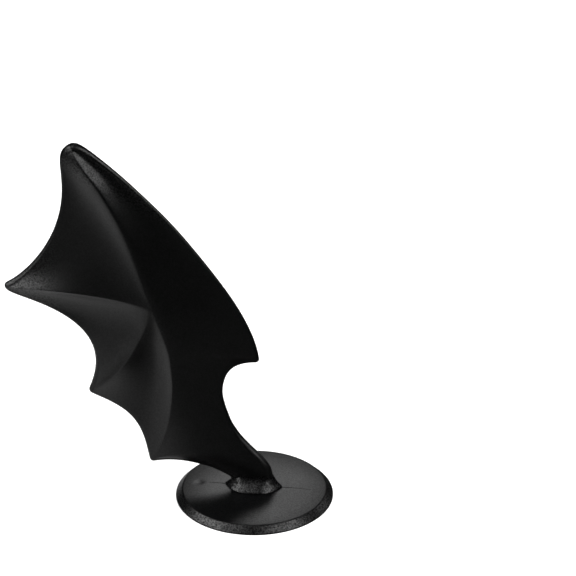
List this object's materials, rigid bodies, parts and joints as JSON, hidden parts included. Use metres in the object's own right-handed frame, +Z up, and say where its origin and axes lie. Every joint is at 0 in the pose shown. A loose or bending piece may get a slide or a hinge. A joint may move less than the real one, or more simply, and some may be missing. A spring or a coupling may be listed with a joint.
{
  "type": "costume bat wing",
  "caption": "Black moulded bat wing with ribbed fingers and a scalloped edge, standing on a round bevelled stick-on base, for a helmet or a costume.",
  "frame": {"origin": "centre of the base's underside", "axes": "+Z up out of the base; the wing stands in the XZ plane, leans to -X and shows its ribbed face to -Y"},
  "size_m": [0.1236, 0.06, 0.1435],
  "materials": {
    "wing_plastic": "satin black with a fine moulded grain",
    "base_plastic": "satin black with a fine moulded grain",
    "pad_foam": "matte black foam"
  },
  "bodies": {
    "root": {"wing": "wing_plastic", "base_disc": "base_plastic", "adhesive_pad": "pad_foam"}
  },
  "joints": []
}
